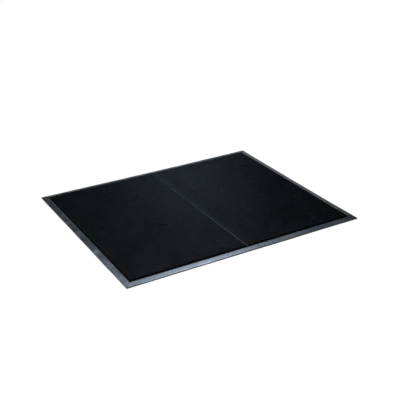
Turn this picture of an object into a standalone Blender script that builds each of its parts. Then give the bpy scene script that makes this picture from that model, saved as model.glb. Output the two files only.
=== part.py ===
"""Rubber fingertip door mat: a bordered tray with two lift-out scraper panels.

Units are metres and +Z is up. +X runs along the long sides. The origin is on the
floor at the middle of the underside. The tray is a backing sheet with four mitred
ramps bonded round it and a divider across its middle, and each panel of rubber
fingers lies loose in its own bay.
"""

import math

import bmesh
import bpy
from mathutils import Matrix, Vector

# Overall size, over the ramps
MAT_LENGTH = 0.991          # along X
MAT_WIDTH = 0.813           # along Y

# Backing sheet
BASE_THICKNESS = 0.0020
BASE_EDGE_ROUND = 0.00025

# Ramps: a square lip at the floor, a slope, then a narrow level land beside the panels
RAMP_WIDTH = 0.0220
RAMP_HEIGHT = 0.0078
RAMP_LAND = 0.0020
RAMP_LIP = 0.0046
RAMP_FOOT = 0.0095          # sole that stands on the floor outside the backing sheet
RAMP_EDGE_ROUND = 0.0005

# Divider between the two bays
DIVIDER_WIDTH = 0.0030
DIVIDER_RISE = 0.0096       # height above the backing sheet
DIVIDER_EDGE_ROUND = 0.0009

# Scraper panels
WEB_THICKNESS = 0.0025      # sheet that the fingers grow from
FINGER_HEIGHT = 0.0072      # above that sheet
FINGER_MARGIN = 0.0055      # bare web outside the fingers, beside the ramps
SEAM_MARGIN = 0.0007        # the same, beside the divider
WEB_EDGE_ROUND = 0.0004

# Fits
PANEL_CLEARANCE = 0.0010    # loose panel to ramp and to divider
BOND_GAP = 0.0003           # between faces that are bonded or that rest on each other
MERGE_DISTANCE = 0.00001
SHARP_ANGLE = math.radians(15)

# Lengths that follow from the sizes above
BED_LEVEL = BASE_THICKNESS + BOND_GAP
BAY_HALF_LENGTH = MAT_LENGTH / 2 - RAMP_WIDTH
BAY_HALF_WIDTH = MAT_WIDTH / 2 - RAMP_WIDTH

COLLECTION_NAME = "door_mat"


def clear_scene():
    for item in list(bpy.data.objects):
        bpy.data.objects.remove(item, do_unlink=True)


def make_collection(name):
    collection = bpy.data.collections.new(name)
    bpy.context.scene.collection.children.link(collection)
    return collection


def make_material(name, color, roughness):
    material = bpy.data.materials.new(name)
    material.use_nodes = True
    shader = material.node_tree.nodes["Principled BSDF"]
    shader.inputs["Base Color"].default_value = (*color, 1.0)
    shader.inputs["Roughness"].default_value = roughness
    shader.inputs["Metallic"].default_value = 0.0
    return material


def meets_inner_corner(edge):
    """True for an edge that is, or ends at, an inside corner of its part."""
    return any(
        not near.is_convex and near.calc_face_angle() > SHARP_ANGLE
        for vert in edge.verts
        for near in vert.link_edges
    )


def finish_mesh(name, bm, collection, material, edge_round):
    """Turn a bmesh into a named part whose outside corners are rounded over."""
    bmesh.ops.recalc_face_normals(bm, faces=bm.faces)
    weights = bm.edges.layers.float.new("bevel_weight_edge")
    for edge in bm.edges:
        if edge.calc_face_angle() > SHARP_ANGLE and not meets_inner_corner(edge):
            edge[weights] = 1.0
    mesh = bpy.data.meshes.new(name)
    bm.to_mesh(mesh)
    bm.free()
    mesh.materials.append(material)
    part = bpy.data.objects.new(name, mesh)
    collection.objects.link(part)
    rounding = part.modifiers.new("edge_round", "BEVEL")
    rounding.width = edge_round
    rounding.segments = 2
    rounding.limit_method = "WEIGHT"
    return part


def box_bmesh(size_x, size_y, size_z):
    """A box that stands on its own z = 0 plane, centred on x and y."""
    bm = bmesh.new()
    bmesh.ops.create_cube(bm, size=1.0)
    bmesh.ops.scale(bm, vec=(size_x, size_y, size_z), verts=bm.verts)
    bmesh.ops.translate(bm, vec=(0.0, 0.0, size_z / 2), verts=bm.verts)
    return bm


def make_base_sheet(collection, material):
    """The sheet that the panels lie on, tucked under the inner part of each ramp."""
    inset = RAMP_FOOT + BOND_GAP
    bm = box_bmesh(MAT_LENGTH - 2 * inset, MAT_WIDTH - 2 * inset, BASE_THICKNESS)
    return finish_mesh("base_sheet", bm, collection, material, BASE_EDGE_ROUND)


def ramp_outline():
    """Section of a ramp: x runs inward from the outer edge, y is height."""
    return [
        (0.0, 0.0),
        (RAMP_FOOT, 0.0),
        (RAMP_FOOT, BED_LEVEL),
        (RAMP_WIDTH, BED_LEVEL),
        (RAMP_WIDTH, RAMP_HEIGHT),
        (RAMP_WIDTH - RAMP_LAND, RAMP_HEIGHT),
        (0.0, RAMP_LIP),
    ]


def extruded_outline(outline, length):
    """Extrude a flat outline and return it as a bmesh lying along X."""
    curve = bpy.data.curves.new("outline", "CURVE")
    curve.dimensions = "2D"
    curve.fill_mode = "BOTH"
    curve.extrude = length / 2
    spline = curve.splines.new("POLY")
    spline.points.add(len(outline) - 1)
    for point, (across, up) in zip(spline.points, outline):
        point.co = (across, up, 0.0, 1.0)
    spline.use_cyclic_u = True
    guide = bpy.data.objects.new("outline", curve)
    bpy.context.scene.collection.objects.link(guide)
    evaluated = guide.evaluated_get(bpy.context.evaluated_depsgraph_get())
    mesh = bpy.data.meshes.new_from_object(evaluated)
    bm = bmesh.new()
    bm.from_mesh(mesh)
    bmesh.ops.remove_doubles(bm, verts=bm.verts, dist=MERGE_DISTANCE)
    lie_along_x = Matrix(((0, 0, 1), (1, 0, 0), (0, 1, 0))).to_4x4()
    bmesh.ops.transform(bm, matrix=lie_along_x, verts=bm.verts)
    bpy.data.objects.remove(guide, do_unlink=True)
    bpy.data.curves.remove(curve)
    bpy.data.meshes.remove(mesh)
    return bm


def cut_mitre(bm, end_x):
    """Cut one end square to the corner's bisector and close the cut."""
    outward = Vector((math.copysign(1.0, end_x), 1.0, 0.0)).normalized()
    corner = Vector((end_x, 0.0, 0.0))
    cut = bmesh.ops.bisect_plane(
        bm,
        geom=[*bm.verts, *bm.edges, *bm.faces],
        dist=MERGE_DISTANCE,
        plane_co=corner - outward * BOND_GAP / 2,
        plane_no=outward,
        clear_outer=True,
    )
    rim = [item for item in cut["geom_cut"] if isinstance(item, bmesh.types.BMEdge)]
    bmesh.ops.contextual_create(bm, geom=rim)


def make_ramp(name, length, place, turn, collection, material):
    """One bevelled edging strip, mitred at both ends."""
    bm = extruded_outline(ramp_outline(), length)
    cut_mitre(bm, length / 2)
    cut_mitre(bm, -length / 2)
    bmesh.ops.dissolve_limit(
        bm, angle_limit=math.radians(1), verts=bm.verts, edges=bm.edges
    )
    ramp = finish_mesh(name, bm, collection, material, RAMP_EDGE_ROUND)
    ramp.location = place
    ramp.rotation_euler = (0.0, 0.0, math.radians(turn))
    return ramp


def make_divider(collection, material):
    """The rib bonded across the backing sheet between the two bays."""
    bm = box_bmesh(DIVIDER_WIDTH, 2 * (BAY_HALF_WIDTH - BOND_GAP), DIVIDER_RISE)
    divider = finish_mesh("centre_divider", bm, collection, material, DIVIDER_EDGE_ROUND)
    divider.location = (0.0, 0.0, BED_LEVEL)
    return divider


def make_panel(name, side, collection, material):
    """A scraper panel: its web, and the block of space that its fingers fill.

    side is -1 for the bay at -X and 1 for the bay at +X. The origin is at the
    middle of the panel's underside, on the line along which it lifts out.
    """
    seam_x = DIVIDER_WIDTH / 2 + PANEL_CLEARANCE
    ramp_x = BAY_HALF_LENGTH - PANEL_CLEARANCE
    width = 2 * (BAY_HALF_WIDTH - PANEL_CLEARANCE)
    bm = box_bmesh(ramp_x - seam_x, width, WEB_THICKNESS)

    top = max(bm.faces, key=lambda face: face.calc_center_median().z)
    bmesh.ops.inset_region(bm, faces=[top], thickness=FINGER_MARGIN, use_even_offset=True)
    seam_verts = [vert for vert in top.verts if vert.co.x * side < 0]
    toward_seam = -side * (FINGER_MARGIN - SEAM_MARGIN)
    bmesh.ops.translate(bm, vec=(toward_seam, 0.0, 0.0), verts=seam_verts)
    raised = bmesh.ops.extrude_face_region(bm, geom=[top])["geom"]
    raised_verts = [item for item in raised if isinstance(item, bmesh.types.BMVert)]
    bmesh.ops.translate(bm, vec=(0.0, 0.0, FINGER_HEIGHT), verts=raised_verts)
    bmesh.ops.delete(bm, geom=[top], context="FACES_ONLY")

    panel = finish_mesh(name, bm, collection, material, WEB_EDGE_ROUND)
    panel.location = (side * (seam_x + ramp_x) / 2, 0.0, BED_LEVEL)
    return panel


def main():
    clear_scene()
    parts = make_collection(COLLECTION_NAME)

    backing = make_material("backing_rubber", (0.018, 0.018, 0.020), 0.75)
    edging = make_material("ramp_rubber", (0.030, 0.033, 0.038), 0.42)
    dividing = make_material("divider_rubber", (0.028, 0.029, 0.032), 0.50)
    scraping = make_material("finger_rubber", (0.014, 0.015, 0.017), 0.62)

    make_base_sheet(parts, backing)
    front = (0.0, -MAT_WIDTH / 2, 0.0)
    rear = (0.0, MAT_WIDTH / 2, 0.0)
    left = (-MAT_LENGTH / 2, 0.0, 0.0)
    right = (MAT_LENGTH / 2, 0.0, 0.0)
    make_ramp("front_ramp", MAT_LENGTH, front, 0, parts, edging)
    make_ramp("rear_ramp", MAT_LENGTH, rear, 180, parts, edging)
    make_ramp("left_ramp", MAT_WIDTH, left, -90, parts, edging)
    make_ramp("right_ramp", MAT_WIDTH, right, 90, parts, edging)
    make_divider(parts, dividing)
    make_panel("left_panel", -1, parts, scraping)
    make_panel("right_panel", 1, parts, scraping)


main()
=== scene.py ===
# Rubber scraper mat: the looks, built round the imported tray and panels.
import math

import bmesh
import bpy
import numpy as np
from mathutils import Matrix, Vector, noise


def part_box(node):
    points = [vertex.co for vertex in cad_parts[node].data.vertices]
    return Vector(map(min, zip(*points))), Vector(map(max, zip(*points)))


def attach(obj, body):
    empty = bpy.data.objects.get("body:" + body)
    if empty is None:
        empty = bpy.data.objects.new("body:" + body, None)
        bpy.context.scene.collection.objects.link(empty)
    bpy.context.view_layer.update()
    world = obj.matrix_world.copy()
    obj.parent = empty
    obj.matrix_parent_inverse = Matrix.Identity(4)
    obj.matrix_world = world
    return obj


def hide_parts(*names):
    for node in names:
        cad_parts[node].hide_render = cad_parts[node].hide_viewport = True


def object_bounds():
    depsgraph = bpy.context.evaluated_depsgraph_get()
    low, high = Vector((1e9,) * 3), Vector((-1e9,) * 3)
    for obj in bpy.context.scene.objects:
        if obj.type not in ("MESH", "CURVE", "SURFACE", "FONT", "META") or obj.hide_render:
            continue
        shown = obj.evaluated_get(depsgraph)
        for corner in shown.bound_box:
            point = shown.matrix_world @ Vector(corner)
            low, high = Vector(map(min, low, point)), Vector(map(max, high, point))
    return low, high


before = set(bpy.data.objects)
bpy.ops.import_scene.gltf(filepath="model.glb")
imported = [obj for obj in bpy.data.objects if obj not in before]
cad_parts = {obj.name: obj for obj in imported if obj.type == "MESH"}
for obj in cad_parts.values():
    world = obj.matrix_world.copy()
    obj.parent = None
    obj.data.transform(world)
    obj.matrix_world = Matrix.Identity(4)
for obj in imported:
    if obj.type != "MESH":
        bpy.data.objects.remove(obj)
cadLow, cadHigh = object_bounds()
for oldLight in [item for item in bpy.data.objects if item.type in {"LIGHT", "CAMERA"}]:
    bpy.data.objects.remove(oldLight)
print("frame loaded:", len(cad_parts), "nodes")


def addToScene(name, mesh):
    piece = bpy.data.objects.new(name, mesh)
    bpy.context.scene.collection.objects.link(piece)
    return piece


def meshFromBmesh(name, bm):
    bmesh.ops.recalc_face_normals(bm, faces=bm.faces)
    mesh = bpy.data.meshes.new(name)
    bm.to_mesh(mesh)
    bm.free()
    return mesh


def boxBmesh(low, high):
    bm = bmesh.new()
    bmesh.ops.create_cube(bm, size=1.0)
    size = Vector(high) - Vector(low)
    middle = (Vector(high) + Vector(low)) / 2
    bmesh.ops.scale(bm, vec=size, verts=bm.verts)
    bmesh.ops.translate(bm, vec=middle, verts=bm.verts)
    return bm


def bevelEdges(bm, edges, width, segments):
    bmesh.ops.bevel(
        bm, geom=edges, offset=width, offset_type="OFFSET", segments=segments,
        profile=0.5, affect="EDGES", material=-1, clamp_overlap=True,
    )


def smoothShade(mesh, sharpAngle):
    mesh.shade_smooth()
    mesh.set_sharp_from_angle(angle=math.radians(sharpAngle))


def putOn(piece, material, body, slot, *nodes):
    piece.data.materials.clear()
    piece.data.materials.append(material)
    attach(piece, body)
    if nodes:
        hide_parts(*nodes)
    return piece


def wave(x, y, size, layer):
    # smooth noise from -1 to 1 whose lumps are about size across, one field to a layer
    return noise.noise(Vector((x / size, y / size, layer)))


camera = {
    "place": (-1.4032, -2.4591, 1.4019),
    "heading": 30.14,      # degrees right of straight back
    "tilt": -25.74,
    "roll": -0.41,
    "lens": 71.0,
    "sensor": 36.0,
    "clipStart": 0.05,
    "clipEnd": 60.0,
}
studio = {
    "floorSize": 24.0,
    "floorColor": (0.05, 0.05, 0.05, 1.0),
    "floorRoughness": 0.9,
    "glowColor": (1.0, 1.0, 1.0, 1.0),
    "floorGlow": 1.00,       # an evenly lit white sweep
    "worldColor": (0.80, 0.90, 1.0, 1.0),
    "worldStrength": 0.0005,
    "boxDistance": 3.0,      # from the middle of the mat
    "boxSize": 0.7,
    "boxColor": (0.85, 1.0, 1.22),
}
softboxes = {               # degrees right of straight back, degrees up, watts
    "overheadBox": (-8.0, 56.0, 35.9),
    "shoulderBox": (50.0, 63.0, 33.9),
    "crownBox": (20.0, 62.0, 4.0),
    "sideBox": (60.0, 52.0, 2.2),
    "forwardBox": (44.0, 52.0, 4.6),
    "middleBox": (30.0, 51.0, 3.4),
    "rearBox": (34.0, 27.0, 1.0),
    "rimBox": (12.0, 34.0, 0.24),
    "lowLeftBox": (16.0, 20.0, 0.30),
    "lowBox": (25.0, 20.0, 1.25),
    "lowRightBox": (31.0, 20.0, 0.30),
}


def makeCamera():
    data = bpy.data.cameras.new("camera")
    data.lens = camera["lens"]
    data.sensor_width = camera["sensor"]
    data.clip_start = camera["clipStart"]
    data.clip_end = camera["clipEnd"]
    item = bpy.data.objects.new("camera", data)
    bpy.context.scene.collection.objects.link(item)
    turn = (
        Matrix.Rotation(math.radians(-camera["heading"]), 4, "Z")
        @ Matrix.Rotation(math.radians(90 + camera["tilt"]), 4, "X")
        @ Matrix.Rotation(math.radians(camera["roll"]), 4, "Z")
    )
    item.matrix_world = Matrix.Translation(camera["place"]) @ turn
    bpy.context.scene.camera = item


def makeSoftbox(name, bearing, height, power):
    data = bpy.data.lights.new(name, "AREA")
    data.shape = "DISK"
    data.size = studio["boxSize"]
    data.energy = power
    data.color = studio["boxColor"]
    lamp = bpy.data.objects.new(name, data)
    bpy.context.scene.collection.objects.link(lamp)
    level = studio["boxDistance"] * math.cos(math.radians(height))
    lamp.location = (
        level * math.sin(math.radians(bearing)),
        level * math.cos(math.radians(bearing)),
        studio["boxDistance"] * math.sin(math.radians(height)),
    )
    lamp.rotation_euler = (-lamp.location).to_track_quat("-Z", "Y").to_euler()


def makeStudio():
    bm = bmesh.new()
    bmesh.ops.create_grid(bm, x_segments=1, y_segments=1, size=studio["floorSize"] / 2)
    floor = addToScene("floor", meshFromBmesh("floor", bm))
    paper = bpy.data.materials.new("paper")
    paper.use_nodes = True
    shader = paper.node_tree.nodes["Principled BSDF"]
    shader.inputs["Base Color"].default_value = studio["floorColor"]
    shader.inputs["Roughness"].default_value = studio["floorRoughness"]
    shader.inputs["Specular IOR Level"].default_value = 0.0
    shader.inputs["Emission Color"].default_value = studio["glowColor"]
    shader.inputs["Emission Strength"].default_value = studio["floorGlow"]
    floor.data.materials.append(paper)

    world = bpy.data.worlds.new("world")
    world.use_nodes = True
    sky = world.node_tree.nodes["Background"]
    sky.inputs["Color"].default_value = studio["worldColor"]
    sky.inputs["Strength"].default_value = studio["worldStrength"]
    bpy.context.scene.world = world
    for name, (bearing, height, power) in softboxes.items():
        makeSoftbox(name, bearing, height, power)
    bpy.context.scene.view_settings.view_transform = "Standard"


makeCamera()
makeStudio()
print("camera and studio ready")


cloud = {
    "grainDetail": 3.0,
    "grainRoughness": 0.6,
    "bloomDetail": 4.0,
    "bloomRoughness": 0.55,
    "middle": 0.5,           # noise value left as it is when the contrast is raised
}


def newGroup(name, inputs, outputs):
    group = bpy.data.node_groups.new(name, "ShaderNodeTree")
    for label, kind in inputs:
        group.interface.new_socket(name=label, in_out="INPUT", socket_type=kind)
    for label, kind in outputs:
        group.interface.new_socket(name=label, in_out="OUTPUT", socket_type=kind)
    source = group.nodes.new("NodeGroupInput")
    sink = group.nodes.new("NodeGroupOutput")
    return group, source, sink


def addNode(tree, kind, **settings):
    node = tree.nodes.new(kind)
    for key, value in settings.items():
        setattr(node, key, value)
    return node


def makeGrainGroup():
    # fine moulded grain plus broad cloudy bloom, both from a position
    group, source, sink = newGroup(
        "rubberGrain",
        [("Position", "NodeSocketVector"), ("Grain Scale", "NodeSocketFloat"),
         ("Bloom Scale", "NodeSocketFloat"), ("Bloom Contrast", "NodeSocketFloat")],
        [("Grain", "NodeSocketFloat"), ("Bloom", "NodeSocketFloat")],
    )
    links = group.links
    grain = addNode(group, "ShaderNodeTexNoise", noise_dimensions="3D")
    grain.inputs["Detail"].default_value = cloud["grainDetail"]
    grain.inputs["Roughness"].default_value = cloud["grainRoughness"]
    links.new(source.outputs["Position"], grain.inputs["Vector"])
    links.new(source.outputs["Grain Scale"], grain.inputs["Scale"])
    bloom = addNode(group, "ShaderNodeTexNoise", noise_dimensions="3D")
    bloom.inputs["Detail"].default_value = cloud["bloomDetail"]
    bloom.inputs["Roughness"].default_value = cloud["bloomRoughness"]
    links.new(source.outputs["Position"], bloom.inputs["Vector"])
    links.new(source.outputs["Bloom Scale"], bloom.inputs["Scale"])
    centre = addNode(group, "ShaderNodeMath", operation="SUBTRACT")
    centre.inputs[1].default_value = cloud["middle"]
    links.new(bloom.outputs["Fac"], centre.inputs[0])
    spread = addNode(group, "ShaderNodeMath", operation="MULTIPLY_ADD")
    spread.inputs[2].default_value = cloud["middle"]
    spread.use_clamp = True
    links.new(centre.outputs[0], spread.inputs[0])
    links.new(source.outputs["Bloom Contrast"], spread.inputs[1])
    links.new(grain.outputs["Fac"], sink.inputs["Grain"])
    links.new(spread.outputs[0], sink.inputs["Bloom"])
    return group


def makeRubber(name, look, grainGroup):
    material = bpy.data.materials.new(name)
    material.use_nodes = True
    tree = material.node_tree
    links = tree.links
    shader = tree.nodes["Principled BSDF"]
    shader.inputs["Specular IOR Level"].default_value = look["specular"]
    shader.inputs["Metallic"].default_value = 0.0
    if "sideSpecular" in look:      # tips shine, sides don't
        tip = addNode(tree, "ShaderNodeAttribute", attribute_name="tip")
        gloss = addNode(tree, "ShaderNodeMapRange")
        gloss.inputs["To Min"].default_value = look["sideSpecular"]
        gloss.inputs["To Max"].default_value = look["specular"]
        links.new(tip.outputs["Fac"], gloss.inputs["Value"])
        links.new(gloss.outputs["Result"], shader.inputs["Specular IOR Level"])
    place = addNode(tree, "ShaderNodeTexCoord")
    grain = addNode(tree, "ShaderNodeGroup", node_tree=grainGroup)
    grain.inputs["Grain Scale"].default_value = look["grainScale"]
    grain.inputs["Bloom Scale"].default_value = look["bloomScale"]
    grain.inputs["Bloom Contrast"].default_value = look["bloomContrast"]
    links.new(place.outputs["Object"], grain.inputs["Position"])

    tone = addNode(tree, "ShaderNodeMix", data_type="RGBA")
    tone.inputs["A"].default_value = (*look["dark"], 1.0)
    tone.inputs["B"].default_value = (*look["light"], 1.0)
    links.new(grain.outputs["Bloom"], tone.inputs["Factor"])

    # painted highlight: a lighter colour mixed into the base colour by a per-vertex attribute
    paintedHighlight = addNode(tree, "ShaderNodeAttribute", attribute_name="paintedHighlight")
    highlightPaint = addNode(tree, "ShaderNodeMix", data_type="RGBA")
    highlightPaint.inputs["B"].default_value = (*look["highlightPaint"], 1.0)
    links.new(paintedHighlight.outputs["Fac"], highlightPaint.inputs["Factor"])
    links.new(tone.outputs["Result"], highlightPaint.inputs["A"])
    links.new(highlightPaint.outputs["Result"], shader.inputs["Base Color"])

    rough = addNode(tree, "ShaderNodeMapRange")
    rough.inputs["To Min"].default_value = look["roughLow"]
    rough.inputs["To Max"].default_value = look["roughHigh"]
    links.new(grain.outputs["Bloom"], rough.inputs["Value"])
    links.new(rough.outputs["Result"], shader.inputs["Roughness"])

    bump = addNode(tree, "ShaderNodeBump")
    bump.inputs["Strength"].default_value = look["bump"]
    bump.inputs["Distance"].default_value = look["bumpDepth"]
    links.new(grain.outputs["Grain"], bump.inputs["Height"])
    links.new(bump.outputs["Normal"], shader.inputs["Normal"])
    return material


# the third colour of each look is its painted highlight colour
rubberLooks = {
    "ramp": {
        "dark": (0.028, 0.029, 0.030), "light": (0.050, 0.053, 0.056),
        "highlightPaint": (0.150, 0.138, 0.132), "roughLow": 0.22, "roughHigh": 0.33,
        "specular": 0.5, "grainScale": 1400.0, "bloomScale": 16.0,
        "bloomContrast": 2.2, "bump": 0.25, "bumpDepth": 0.0002,
    },
    "finger": {
        "dark": (0.003, 0.0035, 0.004), "light": (0.006, 0.007, 0.008),
        "highlightPaint": (0.034, 0.037, 0.042), "roughLow": 0.26, "roughHigh": 0.34,
        "specular": 1.0, "grainScale": 1800.0, "bloomScale": 7.0,
        "bloomContrast": 2.0, "bump": 0.2, "bumpDepth": 0.0002, "sideSpecular": 0.04,
    },
    "web": {
        "dark": (0.0025, 0.003, 0.0035), "light": (0.004, 0.0045, 0.005),
        "highlightPaint": (0.008, 0.009, 0.010), "roughLow": 0.6, "roughHigh": 0.75,
        "specular": 0.12, "grainScale": 1200.0, "bloomScale": 9.0,
        "bloomContrast": 1.5, "bump": 0.3, "bumpDepth": 0.0003,
    },
    "divider": {
        "dark": (0.006, 0.007, 0.008), "light": (0.012, 0.014, 0.016),
        "highlightPaint": (0.060, 0.063, 0.068), "roughLow": 0.40, "roughHigh": 0.50,
        "specular": 0.45, "grainScale": 1400.0, "bloomScale": 18.0,
        "bloomContrast": 1.8, "bump": 0.25, "bumpDepth": 0.0002,
    },
    "backing": {
        "dark": (0.016, 0.017, 0.018), "light": (0.026, 0.027, 0.029),
        "highlightPaint": (0.05, 0.05, 0.05), "roughLow": 0.62, "roughHigh": 0.82,
        "specular": 0.4, "grainScale": 700.0, "bloomScale": 10.0,
        "bloomContrast": 1.6, "bump": 0.5, "bumpDepth": 0.0004,
    },
}
grainGroup = makeGrainGroup()
rubber = {name: makeRubber(name + "Rubber", look, grainGroup)
          for name, look in rubberLooks.items()}
print("rubber mixed")


ramp = {
    "width": 0.0220,
    "height": 0.0078,
    "land": 0.0020,
    "lip": 0.0046,
    "foot": 0.0095,
    "lapLevel": 0.0023,      # underside of the lap, just over the backing sheet
    "mitrePull": 0.00021,    # each end stops this short, for a hairline between neighbours
    "step": 0.0025,          # along the length
    "slopeCuts": 3,
    "edgeRound": 0.0007,
    "innerRound": 0.0006,
    "breakRound": 0.0009,    # where the slope meets the land
    "roundSegments": 4,
    "sharpAngle": 40,        # degrees
    "slack": 0.0001,         # for telling which face a vertex is on
    "edgeWander": 0.0008,    # how far the outer edge strays from straight
    "broadWander": (0.16, 3.1),      # lump size and layer of each wave
    "fineWander": (0.05, 7.7),
    "wanderShare": 0.9,      # of the width, from the outer edge, that strays
    # how far each outer edge draws in at its middle
    "bow": {"frontRamp": 0.0008, "rearRamp": 0.0030, "leftRamp": 0.0, "rightRamp": 0.0026},
    "topRipple": 0.00022,
    "fineRipple": (0.03, 11.3),
    "broadRipple": (0.11, 5.9),
    "rippleFade": 0.6,       # lost by the inner edge
    "soleShare": 0.9,        # of the sole's width, over which the lip ripples too
    "soleLevel": 0.001,      # below this nothing ripples
    "highlightReach": 0.0024,     # width of the painted highlight line along the inner edge
    "landDepth": 0.001,      # the painted highlight line reaches this far below the land
    "highlightWave": (0.07, 19.0),
    "highlightMiddle": 0.55,
    "highlightSwing": 0.45,
    # how strong the painted highlight along each ramp's inner edge is
    "edgeHighlight": {"frontRamp": 1.0, "rearRamp": 1.0, "leftRamp": 1.8, "rightRamp": 1.5},
    # painted sheen over the top of each ramp, a painted reflection; only the right ramp has it
    "paintedSheen": {"frontRamp": 0.0, "rearRamp": 0.0, "leftRamp": 0.0, "rightRamp": 0.95},
    "sheenFade": 0.22,       # over this distance the painted sheen dies out towards the front corner
    "sheenDepth": 0.0005,    # the painted sheen reaches this far below the lip's upper edge
    "sheenEven": 0.8,
    "sheenPatchy": 0.2,
    # creases across a ramp from being rolled up: where along the mat, and how high
    "creases": {"leftRamp": ((0.234, 0.0006), (0.145, 0.0012), (0.051, 0.0006), (-0.118, 0.0007))},
    "creaseRise": 0.025,     # each one swells gently on its near side
    "creaseFall": 0.006,     # and drops away on its far side
}


def rampSection(bm):
    # outline of the section at x = 0, y inward and z up
    corners = [
        (0.0, 0.0), (ramp["foot"], 0.0), (ramp["foot"], ramp["lapLevel"]),
        (ramp["width"], ramp["lapLevel"]), (ramp["width"], ramp["height"]),
        (ramp["width"] - ramp["land"], ramp["height"]), (0.0, ramp["lip"]),
    ]
    verts = [bm.verts.new((0.0, across, up)) for across, up in corners]
    edges = [bm.edges.new((verts[i], verts[(i + 1) % len(verts)])) for i in range(len(verts))]
    slope = edges[5]
    bmesh.ops.subdivide_edges(bm, edges=[slope], cuts=ramp["slopeCuts"])


def bendRamp(vert, name, half, spot):
    # bow, wander, ripple and creases; the sole stays flat on the floor
    across, up = vert.co.y, vert.co.z
    inward = across / ramp["width"]
    if inward < ramp["wanderShare"]:
        stray = (wave(spot.x, spot.y, *ramp["broadWander"])
                 + wave(spot.x, spot.y, *ramp["fineWander"]) / 2)
        bow = ramp["bow"][name] * (1 - (vert.co.x / half) ** 2)
        vert.co.y += (bow + ramp["edgeWander"] * stray) * (1 - inward) ** 2
    overLap = up > ramp["lapLevel"] + ramp["slack"]
    overSole = across < ramp["foot"] * ramp["soleShare"] and up > ramp["soleLevel"]
    if overLap or overSole:
        ripple = (wave(spot.x, spot.y, *ramp["fineRipple"])
                  + wave(spot.x, spot.y, *ramp["broadRipple"]))
        vert.co.z += ramp["topRipple"] * ripple * (1 - ramp["rippleFade"] * inward)
        for along, height in ramp["creases"].get(name, ()):
            past = spot.y - along
            reach = ramp["creaseFall"] if past > 0 else ramp["creaseRise"]
            vert.co.z += height * max(0.0, 1 - abs(past) / reach)


def rampHighlight(name, across, up, spot):
    # a painted highlight line along the inner edge, and a painted sheen over the whole top
    patch = ramp["highlightMiddle"] + ramp["highlightSwing"] * wave(spot.x, spot.y, *ramp["highlightWave"])
    patch *= ramp["edgeHighlight"][name]
    line = 0.0
    if up > ramp["height"] - ramp["landDepth"]:
        line = patch * max(0.0, 1 - (ramp["width"] - across) / ramp["highlightReach"])
    paintedSheen = 0.0
    if up > ramp["lip"] - ramp["sheenDepth"]:
        fade = max(0.0, min(1.0, (spot.y - cadLow.y) / ramp["sheenFade"]))
        paintedSheen = ramp["paintedSheen"][name] * fade * (ramp["sheenEven"] + ramp["sheenPatchy"] * patch)
    return max(0.0, min(1.0, max(line, paintedSheen)))


def makeRamp(name, length, place, turn):
    bm = bmesh.new()
    rampSection(bm)
    bmesh.ops.translate(bm, vec=(-length / 2, 0.0, 0.0), verts=bm.verts)
    steps = round(length / ramp["step"])
    bmesh.ops.spin(
        bm, geom=bm.verts[:] + bm.edges[:], cent=(0, 0, 0), axis=(0, 0, 1),
        dvec=(length / steps, 0.0, 0.0), angle=0.0, steps=steps, use_merge=False,
    )
    bmesh.ops.holes_fill(bm, edges=[edge for edge in bm.edges if edge.is_boundary], sides=0)
    bmesh.ops.recalc_face_normals(bm, faces=bm.faces)

    def runsAlong(edge, across, up):
        return all(math.hypot(v.co.y - across, v.co.z - up) < ramp["slack"] for v in edge.verts)

    for across, up, width in (
        (ramp["width"], ramp["height"], ramp["innerRound"]),
        (0.0, ramp["lip"], ramp["edgeRound"]),
        (ramp["width"] - ramp["land"], ramp["height"], ramp["breakRound"]),
    ):
        bevelEdges(bm, [edge for edge in bm.edges if runsAlong(edge, across, up)],
                   width, ramp["roundSegments"])

    half = length / 2
    for vert in bm.verts:
        vert.co.x *= (half - vert.co.y - ramp["mitrePull"]) / half      # mitres both ends

    turned = Matrix.Translation(place) @ Matrix.Rotation(math.radians(turn), 4, "Z")
    highlightLayer = bm.verts.layers.float.new("paintedHighlight")
    for vert in bm.verts:
        across, up = vert.co.y, vert.co.z
        spot = turned @ vert.co
        bendRamp(vert, name, half, spot)
        vert[highlightLayer] = rampHighlight(name, across, up, spot)
    bmesh.ops.transform(bm, matrix=turned, verts=bm.verts)
    mesh = meshFromBmesh(name, bm)
    smoothShade(mesh, ramp["sharpAngle"])
    return addToScene(name, mesh)


def makeRamps():
    long, wide = cadHigh.x - cadLow.x, cadHigh.y - cadLow.y
    sides = [
        ("frontRamp", long, (0.0, cadLow.y, 0.0), 0, "front_ramp"),
        ("rearRamp", long, (0.0, cadHigh.y, 0.0), 180, "rear_ramp"),
        ("leftRamp", wide, (cadLow.x, 0.0, 0.0), -90, "left_ramp"),
        ("rightRamp", wide, (cadHigh.x, 0.0, 0.0), 90, "right_ramp"),
    ]
    for name, length, place, turn, node in sides:
        piece = makeRamp(name, length, place, turn)
        putOn(piece, rubber["ramp"], "tray", "ramp_rubber", node)


makeRamps()
print("ramps bonded on")


divider = {
    "topRound": 0.0013,
    "roundSegments": 4,
    "cuts": 90,
    "longest": 0.1,          # an edge longer than this runs along the divider
    "slack": 0.0001,
    "sharpAngle": 50,        # degrees
    "wander": 0.00025,
    "dip": 0.0003,
    "wanderWave": (0.09, 2.0),       # lump size and layer of each wave
    "dipWave": (0.05, 4.0),
    "highlightWave": (0.06, 8.0),
    "dipLane": 3.0,          # where across the noise each wave is read
    "highlightLane": 1.0,
    "highlightMiddle": 0.5,
    "highlightSwing": 0.5,
    "highlightFade": 0.35,        # less painted highlight towards the back, more towards the front
    "highlightFrom": 0.85,        # share of the height left without painted highlight
}


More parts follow.
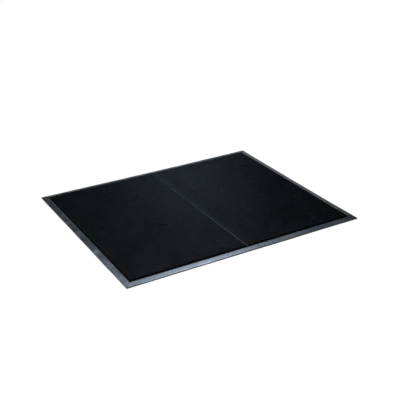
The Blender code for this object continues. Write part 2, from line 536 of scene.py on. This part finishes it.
def makeDivider():
    low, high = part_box("centre_divider")
    bm = boxBmesh(low, high)

    def longEdges():
        return [edge for edge in bm.edges
                if abs((edge.verts[0].co - edge.verts[1].co).y) > divider["longest"]]

    top = [edge for edge in longEdges()
           if min(vert.co.z for vert in edge.verts) > high.z - divider["slack"]]
    bevelEdges(bm, top, divider["topRound"], divider["roundSegments"])
    bmesh.ops.subdivide_edges(bm, edges=longEdges(), cuts=divider["cuts"], use_grid_fill=True)
    highlightLayer = bm.verts.layers.float.new("paintedHighlight")
    for vert in bm.verts:
        rise = (vert.co.z - low.z) / (high.z - low.z)
        along = vert.co.y
        vert.co.x += divider["wander"] * wave(0.0, along, *divider["wanderWave"]) * rise
        vert.co.z += divider["dip"] * wave(divider["dipLane"], along, *divider["dipWave"]) * rise
        # painted highlight along the divider's top edge, patchy along its length
        patch = divider["highlightMiddle"] - divider["highlightFade"] * along / high.y
        patch += divider["highlightSwing"] * wave(divider["highlightLane"], along, *divider["highlightWave"])
        highlightPaint = max(0.0, rise - divider["highlightFrom"]) / (1 - divider["highlightFrom"])
        vert[highlightLayer] = highlightPaint * max(0.0, patch)
    mesh = meshFromBmesh("divider", bm)
    smoothShade(mesh, divider["sharpAngle"])
    piece = addToScene("centreDivider", mesh)
    putOn(piece, rubber["divider"], "tray", "divider_rubber", "centre_divider")


def finishBacking():
    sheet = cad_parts["base_sheet"]
    sheet.data.materials.clear()
    sheet.data.materials.append(rubber["backing"])


makeDivider()
finishBacking()
print("backing sheet and divider finished")


panel = {
    "webThickness": 0.0025,
    "webRound": 0.0004,
    "webSegments": 2,
    "webSharpAngle": 40,     # degrees
    "margin": 0.0055,        # bare web beside the ramps
    "seamMargin": 0.0007,    # bare web beside the divider
    "pitchAlong": 0.0070,    # between fingers in one column
    "pitchAcross": 0.00606,  # between columns
    "bands": 3,              # pieces that one panel's fingers are split into
    "liftAtSeam": 0.0009,    # how far the right panel rides up at the divider
    "liftReach": 0.030,
    "liftCuts": 12,
    "seamHighlight": 0.016,       # right panel's fingers this near the divider get painted highlight all down
    "seamPower": 0.5,
}
finger = {
    "sides": 8,
    "rootRadius": 0.00250,
    "tipRadius": 0.00200,
    "shoulder": 0.00040,
    "sink": 0.0002,          # into the web
    "sharpAngle": 60,        # degrees
    "flat": 0.9,             # faces that look up more than this are left flat
    "seed": 40,
    "mergeDistance": 0.00001,
    "lean": 0.00006,         # most sideways lean of a tip
    "leanPower": 1.5,
    "drift": 0.00002,        # lean that whole patches of fingers share
    "driftX": (0.045, 31.0),         # lump size and layer of each wave
    "driftY": (0.045, 47.0),
    "heightSpread": 0.00008,
    "stray": 0.0003,         # off its place in the grid
    "columnTone": 0.15,      # how much duller the dullest column's tips are
    "slantTone": 0.75,       # the same, along slanting lines
    "slantPitch": 0.0150,
    "slantTurn": 15.0,       # degrees, from the X axis to square across the lines
    "slantWander": 0.0050,
    "slantWave": (0.09, 61.0),
    "fingerTone": 0.50,      # the same, between neighbours
    "patchTone": 0.12,       # the same, between patches
    "patchWave": (0.05, 23.0),
    # painted highlight on the finger tips: its middle strength, random spread and drift
    "highlightMiddle": 0.5,
    "highlightSpread": 0.25,
    "highlightDrift": 0.3,
    "highlightFrom": 0.80,        # share of the height left without painted highlight
    "tipFrom": 0.93,         # shares of the height where the tip's shine starts and is full
    "tipFull": 0.98,
}


def makeFinger(height):
    bm = bmesh.new()
    full = height + finger["sink"] - finger["shoulder"]
    bmesh.ops.create_cone(
        bm, cap_ends=True, cap_tris=False, segments=finger["sides"],
        radius1=finger["rootRadius"], radius2=finger["tipRadius"], depth=full,
    )
    bmesh.ops.translate(bm, vec=(0, 0, full / 2 - finger["sink"]), verts=bm.verts)
    top = max(bm.faces, key=lambda face: face.calc_center_median().z)
    bmesh.ops.inset_individual(bm, faces=[top], thickness=finger["shoulder"],
                               depth=finger["shoulder"], use_even_offset=True)
    return meshFromBmesh("finger", bm)


def repeated(mesh, countX, stepX, countY, stepY, start):
    # copies of one finger in rows and columns, each copy's vertices kept together
    item = addToScene("copies", mesh.copy())
    item.data.transform(Matrix.Translation(start))
    for count, step in ((countY, (0, stepY, 0)), (countX, (stepX, 0, 0))):
        array = item.modifiers.new("copies", "ARRAY")
        array.count = count
        array.use_relative_offset = False
        array.use_constant_offset = True
        array.constant_offset_displace = step
        array.use_merge_vertices = False
        array.merge_threshold = finger["mergeDistance"]
    result = bpy.data.meshes.new_from_object(
        item.evaluated_get(bpy.context.evaluated_depsgraph_get())
    )
    bpy.data.objects.remove(item)
    return result


def liftAt(x, side):
    # the right panel rides up a little where it meets the divider
    if side < 0:
        return 0.0
    near = max(0.0, 1 - abs(x) / panel["liftReach"])
    return panel["liftAtSeam"] * near * near


def makeWeb(name, side, low, high):
    top = low.z + panel["webThickness"]
    bm = boxBmesh(low, (high.x, high.y, top))
    bevelEdges(bm, bm.edges[:], panel["webRound"], panel["webSegments"])
    seamX = low.x if side > 0 else high.x
    for i in range(panel["liftCuts"]):
        cutX = seamX + side * panel["liftReach"] * (i + 1) / panel["liftCuts"]
        bmesh.ops.bisect_plane(bm, geom=bm.verts[:] + bm.edges[:] + bm.faces[:],
                               plane_co=(cutX, 0, 0), plane_no=(1, 0, 0))
    for vert in bm.verts:
        vert.co.z += liftAt(vert.co.x - seamX, side)
    bm.verts.layers.float.new("paintedHighlight")
    mesh = meshFromBmesh(name, bm)
    smoothShade(mesh, panel["webSharpAngle"])
    return addToScene(name, mesh)


def keepFingers(mesh, perFinger, keep):
    # a copy of the mesh with only the fingers whose flag is set
    bm = bmesh.new()
    bm.from_mesh(mesh)
    bm.verts.ensure_lookup_table()
    flags = np.repeat(keep, perFinger)
    unwanted = [vert for vert, flag in zip(bm.verts, flags) if not flag]
    bmesh.ops.delete(bm, geom=unwanted, context="VERTS")
    return bm


def waveAt(centre, pattern):
    return np.array([wave(x, y, *pattern) for x, y, _ in centre])


def tipPolish(centre, columnDraw, fingerDraw):
    # how shiny each finger's tip is, 1 at most before the patches
    turn = math.radians(finger["slantTurn"])
    along = centre[:, 0] * math.cos(turn) + centre[:, 1] * math.sin(turn)
    along += finger["slantWander"] * waveAt(centre, finger["slantWave"])
    slant = 0.5 + 0.5 * np.cos(2 * math.pi * along / finger["slantPitch"])
    polish = 1 - finger["columnTone"] * columnDraw
    polish *= 1 - finger["slantTone"] * slant
    polish *= 1 - finger["fingerTone"] * fingerDraw
    return polish * (1 + finger["patchTone"] * waveAt(centre, finger["patchWave"]))


def makeFingers(name, side, low, high):
    webTop = low.z + panel["webThickness"]
    height = high.z - webTop
    reach = finger["rootRadius"]
    seamGap = panel["seamMargin"] + reach
    rampGap = panel["margin"] + reach
    firstX = low.x + (seamGap if side > 0 else rampGap)
    lastX = high.x - (rampGap if side > 0 else seamGap)
    firstY, lastY = low.y + rampGap, high.y - rampGap
    columns = round((lastX - firstX) / panel["pitchAcross"]) + 1
    rows = round((lastY - firstY) / panel["pitchAlong"]) + 1
    stepX = (lastX - firstX) / (columns - 1)
    stepY = (lastY - firstY) / (rows - 1)

    one = makeFinger(height)
    perFinger = len(one.vertices)
    evenColumns = repeated(one, (columns + 1) // 2, 2 * stepX, rows, stepY,
                           (firstX, firstY, webTop))
    oddColumns = repeated(one, columns // 2, 2 * stepX, rows - 1, stepY,
                          (firstX + stepX, firstY + stepY / 2, webTop))
    bm = bmesh.new()
    bm.from_mesh(evenColumns)
    bm.from_mesh(oddColumns)
    whole = bpy.data.meshes.new(name)
    bm.to_mesh(whole)
    bm.free()

    spots = np.zeros(len(whole.vertices) * 3)
    whole.vertices.foreach_get("co", spots)
    spots = spots.reshape(-1, perFinger, 3)
    centre = spots.mean(axis=1)
    count = len(centre)
    rise = (spots[:, :, 2] - webTop) / height
    seamX = low.x if side > 0 else high.x
    draw = np.random.default_rng(finger["seed"] + side)
    lean = draw.uniform(-1, 1, (count, 2)) * finger["lean"]
    drift = np.stack([waveAt(centre, finger["driftX"]), waveAt(centre, finger["driftY"])], axis=1)
    lean += drift * finger["drift"]
    stretch = 1 + draw.uniform(-1, 1, count) * finger["heightSpread"] / height
    stray = draw.uniform(-1, 1, (count, 2)) * finger["stray"]
    bend = np.clip(rise, 0, 1) ** finger["leanPower"]
    spots[:, :, 0] += bend * lean[:, :1] + stray[:, :1]
    spots[:, :, 1] += bend * lean[:, 1:] + stray[:, 1:]
    spots[:, :, 2] = webTop + rise * height * stretch[:, None]
    spots[:, :, 2] += np.array([liftAt(x - seamX, side) for x in centre[:, 0]])[:, None]
    whole.vertices.foreach_set("co", spots.ravel())

    column = np.rint((centre[:, 0] - firstX) / stepX).astype(int)
    polish = tipPolish(centre, draw.random(columns)[column], draw.random(count))
    # painted highlight on the tip tops, varied at random and by the polish pattern
    tone = np.clip(finger["highlightMiddle"] + finger["highlightSpread"] * draw.uniform(-1, 1, count)
                   + finger["highlightDrift"] * drift[:, 0], 0, 1)
    paintedHighlight = np.clip((rise - finger["highlightFrom"]) / (1 - finger["highlightFrom"]), 0, 1)
    paintedHighlight = paintedHighlight * (tone * polish)[:, None]
    # painted highlight on the right panel's fingers beside the divider, all down their sides
    if side > 0:
        nearSeam = np.clip(1 - (centre[:, 0] - seamX) / panel["seamHighlight"], 0, 1)
        down = np.clip(rise, 0, 1) ** panel["seamPower"]
        paintedHighlight = np.maximum(paintedHighlight, nearSeam[:, None] * down)
    tip = (rise - finger["tipFrom"]) / (finger["tipFull"] - finger["tipFrom"])
    tip = np.clip(tip, 0, 1) * polish[:, None]
    for label, values in (("paintedHighlight", paintedHighlight), ("tip", tip)):
        layer = whole.attributes.new(label, "FLOAT", "POINT")
        layer.data.foreach_set("value", values.ravel().astype(np.float32))

    edges = np.linspace(low.y, high.y, panel["bands"] + 1)
    pieces = []
    for i in range(panel["bands"]):
        keep = (centre[:, 1] >= edges[i]) & (centre[:, 1] < edges[i + 1])
        band = meshFromBmesh(f"{name}{i + 1}", keepFingers(whole, perFinger, keep))
        smoothShade(band, finger["sharpAngle"])
        for face in band.polygons:
            face.use_smooth = face.normal.z < finger["flat"]
        pieces.append(addToScene(f"{name}{i + 1}", band))
    print(name, count, "fingers,", len(whole.polygons), "faces")
    return pieces


def makePanel(word, side):
    node = word + "_panel"
    low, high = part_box(node)
    web = makeWeb(word + "Web", side, low, high)
    putOn(web, rubber["web"], word + "_insert", "finger_rubber", node)
    for piece in makeFingers(word + "Fingers", side, low, high):
        putOn(piece, rubber["finger"], word + "_insert", "finger_rubber", node)


makePanel("left", -1)
makePanel("right", 1)
print("panels laid in")
